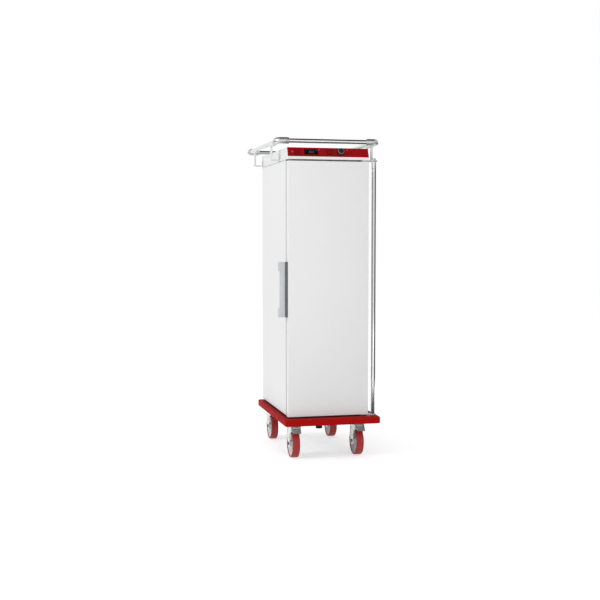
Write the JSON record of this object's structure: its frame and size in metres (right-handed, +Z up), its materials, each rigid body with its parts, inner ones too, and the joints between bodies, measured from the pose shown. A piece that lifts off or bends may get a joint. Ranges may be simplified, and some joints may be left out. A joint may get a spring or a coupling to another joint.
{
  "type": "enclosed meal tray cart",
  "caption": "Tall white insulated tray cabinet on a red bumpered caster base, with a sloping control panel, a door on a full-height pivot tube and a push rail round the top.",
  "frame": {"origin": "on the floor, at the middle of the footprint", "axes": "+X to the right seen from the front, +Y to the back, +Z up; the door faces -Y"},
  "size_m": [0.609, 0.9474, 1.8175],
  "materials": {
    "white_paint": "smooth semi-gloss white powder coat",
    "red_paint": "smooth semi-gloss deep red powder coat",
    "red_bumper": "moulded red plastic with a satin skin",
    "chassis_steel": "grey primer paint",
    "stainless": "brushed stainless steel",
    "zinc": "bright zinc plate on pressed steel",
    "bolt_steel": "plain turned steel",
    "dark_steel": "dark grey motor paint",
    "polished_tube": "polished stainless tube",
    "elbow_alloy": "satin grey cast alloy",
    "bracket_paint": "pale powder coat",
    "wheel_alloy": "moulded light grey wheel centre",
    "red_tread": "cast red polyurethane tread",
    "black_plastic": "moulded black plastic",
    "dark_plastic": "moulded dark grey plastic",
    "pale_plastic": "moulded pale plastic",
    "key_plastic": "moulded dark red plastic",
    "lamp_lens": "clear lamp lens",
    "smoked_window": "smoked acrylic",
    "board_green": "printed circuit board",
    "foam": "rigid polyurethane foam board",
    "aluminium_cast": "bright folded aluminium",
    "element_steel": "heat-tinted steel sheath",
    "seal_rubber": "dark grey extruded seal",
    "handle_dark": "dark grey moulded plastic",
    "handle_light": "light grey moulded plastic"
  },
  "bodies": {
    "cabinet": {"chassis": "chassis_steel", "bumper_ring": "red_bumper", "drain_cap": "black_plastic", "caster_plates": "zinc", "caster_screws": "bolt_steel", "outer_wrap": "white_paint", "back_panel": "white_paint", "front_frame": "stainless", "insulation_boards": "foam", "inner_liner": "stainless", "slide_uprights": "stainless", "tray_slides": "stainless", "control_housing": "white_paint", "control_fascia": "red_paint", "display_window": "smoked_window", "circuit_board": "board_green", "thermostat": "zinc", "indicator_lamps": "lamp_lens", "fan_motor": "dark_steel", "heating_element": "element_steel", "air_duct": "stainless", "power_inlet": "black_plastic", "bearing_brackets": "zinc", "pivot_bushes": "black_plastic", "rail_tubes": "polished_tube", "rail_elbows": "elbow_alloy", "rail_brackets": "bracket_paint", "rail_screws": "bolt_steel"},
    "door": {"door_skin": "white_paint", "door_inner_pan": "stainless", "door_insulation": "foam", "door_gasket": "seal_rubber", "handle_base": "handle_dark", "handle_grip": "handle_light", "handle_screws": "bolt_steel", "pivot_tube": "polished_tube", "hinge_arms": "zinc"},
    "knob": {"temperature_knob": "dark_plastic"},
    "power_push": {"power_button": "pale_plastic"},
    "left_push": {"left_key": "key_plastic"},
    "right_push": {"right_key": "key_plastic"},
    "fan": {"fan_impeller": "aluminium_cast"},
    "swivel_front_left": {"fork_front_left": "zinc", "axle_front_left": "bolt_steel"},
    "roller_front_left": {"wheel_front_left": "wheel_alloy", "tyre_front_left": "red_tread"},
    "swivel_front_right": {"fork_front_right": "zinc", "axle_front_right": "bolt_steel"},
    "roller_front_right": {"wheel_front_right": "wheel_alloy", "tyre_front_right": "red_tread"},
    "swivel_rear_left": {"fork_rear_left": "zinc", "axle_rear_left": "bolt_steel"},
    "roller_rear_left": {"wheel_rear_left": "wheel_alloy", "tyre_rear_left": "red_tread"},
    "swivel_rear_right": {"fork_rear_right": "zinc", "axle_rear_right": "bolt_steel"},
    "roller_rear_right": {"wheel_rear_right": "wheel_alloy", "tyre_rear_right": "red_tread"},
    "pedal_left": {"brake_pedal_left": "zinc"},
    "pedal_right": {"brake_pedal_right": "zinc"}
  },
  "joints": [
    {"name": "door_swing", "type": "hinge", "parent": "cabinet", "child": "door", "pos_m": [0.268, -0.40975, 0], "axis": [0, 0, 1], "range_deg": [0, 270]},
    {"name": "swivel_front_left", "type": "hinge", "parent": "cabinet", "child": "swivel_front_left", "pos_m": [-0.181, -0.35575, 0.18], "axis": [0, 0, 1], "continuous": true},
    {"name": "roll_front_left", "type": "hinge", "parent": "swivel_front_left", "child": "roller_front_left", "pos_m": [-0.181, -0.32375, 0.08], "axis": [1, 0, 0], "continuous": true},
    {"name": "swivel_front_right", "type": "hinge", "parent": "cabinet", "child": "swivel_front_right", "pos_m": [0.196, -0.35575, 0.18], "axis": [0, 0, 1], "continuous": true},
    {"name": "roll_front_right", "type": "hinge", "parent": "swivel_front_right", "child": "roller_front_right", "pos_m": [0.196, -0.32375, 0.08], "axis": [1, 0, 0], "continuous": true},
    {"name": "swivel_rear_left", "type": "hinge", "parent": "cabinet", "child": "swivel_rear_left", "pos_m": [-0.181, 0.23125, 0.18], "axis": [0, 0, 1], "continuous": true},
    {"name": "roll_rear_left", "type": "hinge", "parent": "swivel_rear_left", "child": "roller_rear_left", "pos_m": [-0.181, 0.26325, 0.08], "axis": [1, 0, 0], "continuous": true},
    {"name": "swivel_rear_right", "type": "hinge", "parent": "cabinet", "child": "swivel_rear_right", "pos_m": [0.196, 0.23125, 0.18], "axis": [0, 0, 1], "continuous": true},
    {"name": "roll_rear_right", "type": "hinge", "parent": "swivel_rear_right", "child": "roller_rear_right", "pos_m": [0.196, 0.26325, 0.08], "axis": [1, 0, 0], "continuous": true},
    {"name": "brake_left", "type": "hinge", "parent": "swivel_front_left", "child": "pedal_left", "pos_m": [-0.181, -0.37975, 0.1657], "axis": [1, 0, 0], "range_deg": [0, 18]},
    {"name": "brake_right", "type": "hinge", "parent": "swivel_front_right", "child": "pedal_right", "pos_m": [0.196, -0.37975, 0.1657], "axis": [1, 0, 0], "range_deg": [0, 18]},
    {"name": "knob_turn", "type": "hinge", "parent": "cabinet", "child": "knob", "pos_m": [0.069, -0.41309, 1.73689], "axis": [0, -0.9247, 0.3808], "range_deg": [-270, 0]},
    {"name": "power_press", "type": "slide", "parent": "cabinet", "child": "power_push", "axis": [0, -0.9247, 0.3808], "range_m": [-0.0015, 0], "stiffness_N_per_m": 400, "springref_m": 0.0005},
    {"name": "left_key_press", "type": "slide", "parent": "cabinet", "child": "left_push", "axis": [0, -0.9247, 0.3808], "range_m": [-0.0015, 0], "stiffness_N_per_m": 400, "springref_m": 0.0005},
    {"name": "right_key_press", "type": "slide", "parent": "cabinet", "child": "right_push", "axis": [0, -0.9247, 0.3808], "range_m": [-0.0015, 0], "stiffness_N_per_m": 400, "springref_m": 0.0005},
    {"name": "fan_spin", "type": "hinge", "parent": "cabinet", "child": "fan", "pos_m": [0, 0.15225, 1.64], "axis": [0, 0, 1], "continuous": true}
  ]
}
